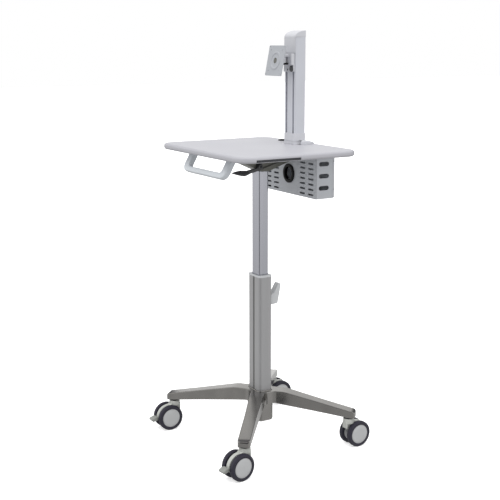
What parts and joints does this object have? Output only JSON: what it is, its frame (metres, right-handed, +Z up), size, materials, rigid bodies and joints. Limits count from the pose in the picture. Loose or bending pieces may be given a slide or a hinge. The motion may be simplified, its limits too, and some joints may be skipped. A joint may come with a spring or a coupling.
{
  "type": "point-of-care medication cart",
  "caption": "Mobile ward cart: star base on twin-wheel casters, telescopic column, worksurface with handle and side mouse tray, vented rear box, and mast with a tilting monitor plate.",
  "frame": {"origin": "on the floor, on the telescopic column's vertical axis", "axes": "+Z up, -Y towards the user at the push handle, +X to the user's right, the side where the mouse tray slides out"},
  "size_m": [0.6554, 0.6668, 1.548],
  "materials": {
    "cast_aluminium": "polished",
    "anodised_column": "satin",
    "light_plastic": "matte",
    "black_steel": "satin",
    "black_plastic": "satin",
    "bright_steel": "polished",
    "dark_paint": "satin",
    "worksurface_shell": "satin",
    "handle_plastic": "satin",
    "silver_paint": "satin",
    "mast_paint": "satin",
    "mast_plastic": "satin",
    "dark_plastic": "satin",
    "tray_plastic": "satin",
    "caster_plastic": "satin",
    "wheel_cap": "satin",
    "tyre_rubber": "matte",
    "pedal_plastic": "satin"
  },
  "bodies": {
    "base": {"base_casting": "cast_aluminium", "hub_pot": "cast_aluminium", "outer_column": "anodised_column", "column_bezel": "light_plastic", "cord_hook": "light_plastic", "gas_spring_cylinder": "black_steel", "front_left_stem": "black_steel", "front_right_stem": "black_steel", "rear_right_stem": "black_steel", "rear_left_stem": "black_steel"},
    "lift": {"inner_column": "anodised_column", "column_glide": "black_plastic", "gas_spring_rod": "bright_steel", "column_yoke": "dark_paint", "worksurface": "worksurface_shell", "desk_grommet": "black_plastic", "push_handle": "handle_plastic", "box_shell": "silver_paint", "box_lid": "silver_paint", "box_grommet": "black_plastic", "mast_column": "mast_paint", "mast_cap": "mast_plastic", "mast_foot": "mast_plastic"},
    "height_lever": {"release_lever": "dark_plastic", "release_shaft": "bright_steel"},
    "valve_pin": {"release_pin": "bright_steel"},
    "tray": {"mouse_tray": "tray_plastic"},
    "carriage": {"mount_carriage": "mast_plastic"},
    "knob": {"carriage_knob": "dark_plastic"},
    "pan_arm": {"pan_bracket": "mast_plastic"},
    "tilt_arm": {"tilt_head": "dark_paint"},
    "monitor_plate": {"vesa_plate": "silver_paint"},
    "front_left_swivel": {"front_left_housing": "caster_plastic", "front_left_axle": "bright_steel"},
    "front_left_wheel_a": {"front_left_hub_a": "wheel_cap", "front_left_tyre_a": "tyre_rubber"},
    "front_left_wheel_b": {"front_left_hub_b": "wheel_cap", "front_left_tyre_b": "tyre_rubber"},
    "front_left_brake": {"front_left_brake_pedal": "pedal_plastic"},
    "front_right_swivel": {"front_right_housing": "caster_plastic", "front_right_axle": "bright_steel"},
    "front_right_wheel_a": {"front_right_hub_a": "wheel_cap", "front_right_tyre_a": "tyre_rubber"},
    "front_right_wheel_b": {"front_right_hub_b": "wheel_cap", "front_right_tyre_b": "tyre_rubber"},
    "front_right_brake": {"front_right_brake_pedal": "pedal_plastic"},
    "rear_right_swivel": {"rear_right_housing": "caster_plastic", "rear_right_axle": "bright_steel"},
    "rear_right_wheel_a": {"rear_right_hub_a": "wheel_cap", "rear_right_tyre_a": "tyre_rubber"},
    "rear_right_wheel_b": {"rear_right_hub_b": "wheel_cap", "rear_right_tyre_b": "tyre_rubber"},
    "rear_left_swivel": {"rear_left_housing": "caster_plastic", "rear_left_axle": "bright_steel"},
    "rear_left_wheel_a": {"rear_left_hub_a": "wheel_cap", "rear_left_tyre_a": "tyre_rubber"},
    "rear_left_wheel_b": {"rear_left_hub_b": "wheel_cap", "rear_left_tyre_b": "tyre_rubber"}
  },
  "joints": [
    {"name": "lift_slide", "type": "slide", "parent": "base", "child": "lift", "axis": [0, 0, 1], "range_m": [-0.365, 0.12]},
    {"name": "height_lever_pull", "type": "hinge", "parent": "lift", "child": "height_lever", "pos_m": [0.05, -0.03, 1.066], "axis": [-1, 0, 0], "range_deg": [0, 6], "stiffness_Nm_per_rad": 1.5, "springref_deg": -4.58},
    {"name": "valve_pin_press", "type": "slide", "parent": "lift", "child": "valve_pin", "axis": [0, 0, -1], "range_m": [0, 0.0035]},
    {"name": "mouse_tray_slide", "type": "slide", "parent": "lift", "child": "tray", "axis": [1, 0, 0], "range_m": [0, 0.17]},
    {"name": "monitor_height_slide", "type": "slide", "parent": "lift", "child": "carriage", "axis": [0, 0, 1], "range_m": [-0.215, 0]},
    {"name": "clamp_knob_turn", "type": "hinge", "parent": "carriage", "child": "knob", "pos_m": [0.0225, 0.118, 1.4115], "axis": [0, -1, 0], "range_deg": [0, 270]},
    {"name": "monitor_pan", "type": "hinge", "parent": "carriage", "child": "pan_arm", "pos_m": [0, 0.1, 1.43708], "axis": [0, 0, 1], "range_deg": [-45, 45]},
    {"name": "monitor_tilt", "type": "hinge", "parent": "pan_arm", "child": "tilt_arm", "pos_m": [0, 0.08361, 1.43708], "axis": [-1, 0, 0], "range_deg": [-16, 13]},
    {"name": "monitor_rotate", "type": "hinge", "parent": "tilt_arm", "child": "monitor_plate", "pos_m": [0, 0.064, 1.441], "axis": [0, -0.9806, 0.1959], "range_deg": [-90, 90]},
    {"name": "front_left_swivel", "type": "hinge", "parent": "base", "child": "front_left_swivel", "pos_m": [-0.276, -0.231, 0.1], "axis": [0, 0, 1], "continuous": true},
    {"name": "front_left_roll_a", "type": "hinge", "parent": "front_left_swivel", "child": "front_left_wheel_a", "pos_m": [-0.27631, -0.261, 0.05], "axis": [0.9999, -0.0105, 0], "continuous": true},
    {"name": "front_left_roll_b", "type": "hinge", "parent": "front_left_swivel", "child": "front_left_wheel_b", "pos_m": [-0.27631, -0.261, 0.05], "axis": [0.9999, -0.0105, 0], "continuous": true},
    {"name": "front_left_brake_press", "type": "hinge", "parent": "front_left_swivel", "child": "front_left_brake", "pos_m": [-0.27669, -0.297, 0.044], "axis": [0.9999, -0.0105, 0], "range_deg": [0, 12]},
    {"name": "front_right_swivel", "type": "hinge", "parent": "base", "child": "front_right_swivel", "pos_m": [0.276, -0.231, 0.1], "axis": [0, 0, 1], "continuous": true},
    {"name": "front_right_roll_a", "type": "hinge", "parent": "front_right_swivel", "child": "front_right_wheel_a", "pos_m": [0.28023, -0.2607, 0.05], "axis": [0.99, 0.1409, 0], "continuous": true},
    {"name": "front_right_roll_b", "type": "hinge", "parent": "front_right_swivel", "child": "front_right_wheel_b", "pos_m": [0.28023, -0.2607, 0.05], "axis": [0.99, 0.1409, 0], "continuous": true},
    {"name": "front_right_brake_press", "type": "hinge", "parent": "front_right_swivel", "child": "front_right_brake", "pos_m": [0.2853, -0.29634, 0.044], "axis": [0.99, 0.1409, 0], "range_deg": [0, 12]},
    {"name": "rear_right_swivel", "type": "hinge", "parent": "base", "child": "rear_right_swivel", "pos_m": [0.24, 0.247, 0.1], "axis": [0, 0, 1], "continuous": true},
    {"name": "rear_right_roll_a", "type": "hinge", "parent": "rear_right_swivel", "child": "rear_right_wheel_a", "pos_m": [0.239, 0.27698, 0.05], "axis": [-0.9995, -0.0332, 0], "continuous": true},
    {"name": "rear_right_roll_b", "type": "hinge", "parent": "rear_right_swivel", "child": "rear_right_wheel_b", "pos_m": [0.239, 0.27698, 0.05], "axis": [-0.9995, -0.0332, 0], "continuous": true},
    {"name": "rear_left_swivel", "type": "hinge", "parent": "base", "child": "rear_left_swivel", "pos_m": [-0.301, 0.24, 0.1], "axis": [0, 0, 1], "continuous": true},
    {"name": "rear_left_roll_a", "type": "hinge", "parent": "rear_left_swivel", "child": "rear_left_wheel_a", "pos_m": [-0.29995, 0.26998, 0.05], "axis": [-0.9994, 0.0349, 0], "continuous": true},
    {"name": "rear_left_roll_b", "type": "hinge", "parent": "rear_left_swivel", "child": "rear_left_wheel_b", "pos_m": [-0.29995, 0.26998, 0.05], "axis": [-0.9994, 0.0349, 0], "continuous": true}
  ],
  "couplings": [
    {"joint": "valve_pin_press", "follows": "height_lever_pull", "m_per_rad": 0.03}
  ]
}
